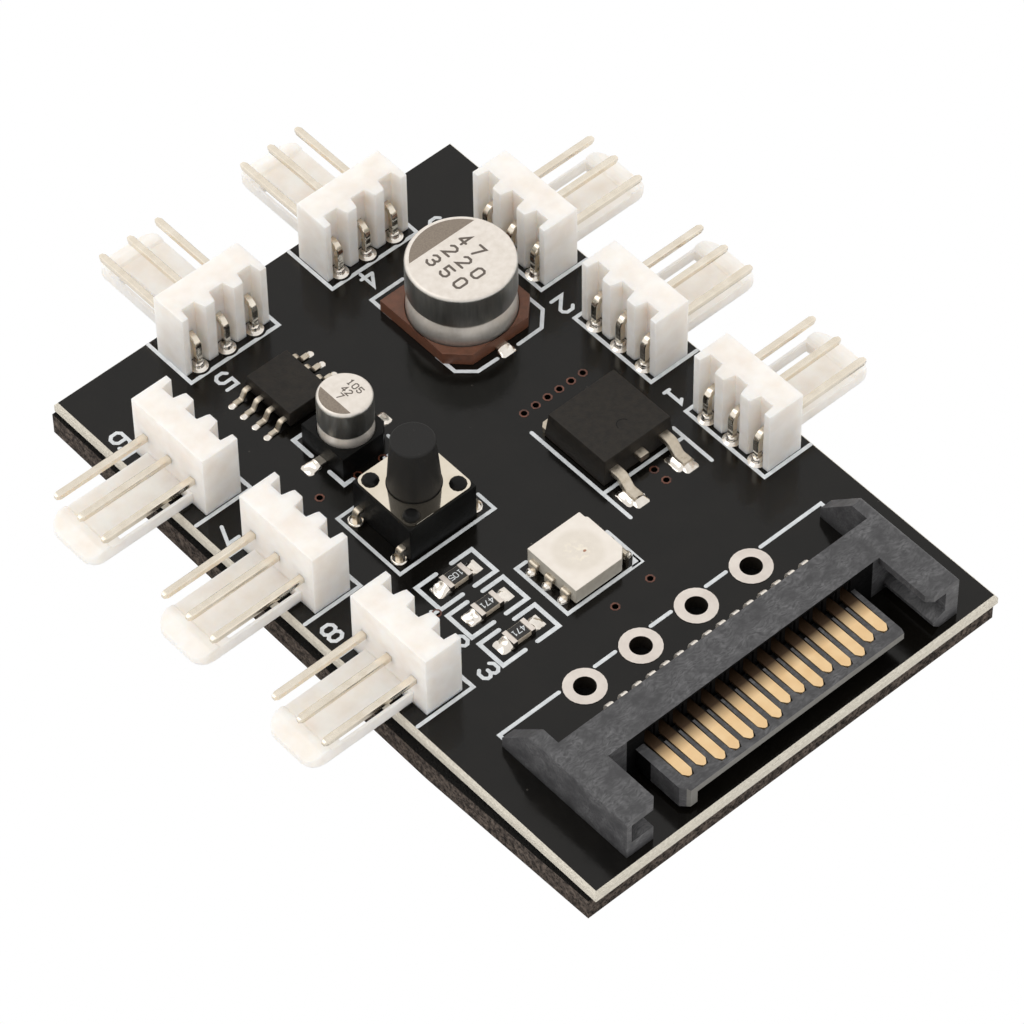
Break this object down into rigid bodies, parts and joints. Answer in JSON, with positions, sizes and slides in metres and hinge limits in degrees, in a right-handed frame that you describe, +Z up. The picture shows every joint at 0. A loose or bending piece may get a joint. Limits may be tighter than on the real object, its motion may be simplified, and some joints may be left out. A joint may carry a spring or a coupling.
{
  "type": "pc fan controller hub",
  "caption": "Flat board with fan headers along three edges, a keyed power inlet, a push button and a foam pad underneath.",
  "frame": {"origin": "middle of the foam pad's underside, where the part is stuck down", "axes": "+Z up out of the board, -Y out of the power inlet, +X towards the headers numbered 1 to 3"},
  "size_m": [0.0514, 0.0636, 0.0111],
  "materials": {
    "solder_mask": "glossy black solder mask over glass fibre",
    "pad_foam": "dark speckled foam",
    "pad_tin": "matt tin plating",
    "bare_copper": "mask covered copper",
    "solder": "bright solder",
    "white_nylon": "satin natural nylon",
    "tinned_brass": "bright tin plate",
    "dark_nylon": "satin glass filled nylon",
    "gold_contact": "satin gold flash",
    "can_aluminium": "satin drawn aluminium",
    "brown_plastic": "satin brown phenolic",
    "black_plastic": "satin black plastic",
    "plunger_plastic": "fine matt black plastic",
    "polished_steel": "polished plated steel",
    "moulded_epoxy": "matt moulded epoxy",
    "lamp_white": "satin white resin",
    "lamp_resin": "milky clear resin",
    "die_amber": "matt semiconductor",
    "resistor_ceramic": "fired ceramic with a black glazed top"
  },
  "bodies": {
    "board": {"circuit_board": "solder_mask", "foam_pad": "pad_foam", "wire_hole_rings": "pad_tin", "via_rings": "bare_copper", "solder_joints": "solder", "fan_header_1_housing": "white_nylon", "fan_header_1_pins": "tinned_brass", "fan_header_2_housing": "white_nylon", "fan_header_2_pins": "tinned_brass", "fan_header_3_housing": "white_nylon", "fan_header_3_pins": "tinned_brass", "fan_header_4_housing": "white_nylon", "fan_header_4_pins": "tinned_brass", "fan_header_5_housing": "white_nylon", "fan_header_5_pins": "tinned_brass", "fan_header_6_housing": "white_nylon", "fan_header_6_pins": "tinned_brass", "fan_header_7_housing": "white_nylon", "fan_header_7_pins": "tinned_brass", "fan_header_8_housing": "white_nylon", "fan_header_8_pins": "tinned_brass", "power_inlet_housing": "dark_nylon", "power_inlet_contacts": "gold_contact", "large_capacitor_can": "can_aluminium", "large_capacitor_base": "brown_plastic", "large_capacitor_leads": "tinned_brass", "small_capacitor_can": "can_aluminium", "small_capacitor_base": "black_plastic", "small_capacitor_leads": "tinned_brass", "push_button_base": "black_plastic", "push_button_cover": "polished_steel", "push_button_dome": "polished_steel", "push_button_legs": "tinned_brass", "transistor_body": "moulded_epoxy", "transistor_tab": "tinned_brass", "transistor_leads": "tinned_brass", "control_chip_body": "moulded_epoxy", "control_chip_legs": "tinned_brass", "lamp_housing": "lamp_white", "lamp_lens": "lamp_resin", "lamp_dies": "die_amber", "lamp_legs": "tinned_brass", "resistor_1_body": "resistor_ceramic", "resistor_1_caps": "pad_tin", "resistor_2_body": "resistor_ceramic", "resistor_2_caps": "pad_tin", "resistor_3_body": "resistor_ceramic", "resistor_3_caps": "pad_tin"},
    "button": {"push_button_plunger": "plunger_plastic"}
  },
  "joints": [
    {"name": "button_press", "type": "slide", "parent": "board", "child": "button", "axis": [0, 0, -1], "range_m": [0, 0.00025], "stiffness_N_per_m": 1000, "springref_m": -0.0003}
  ]
}
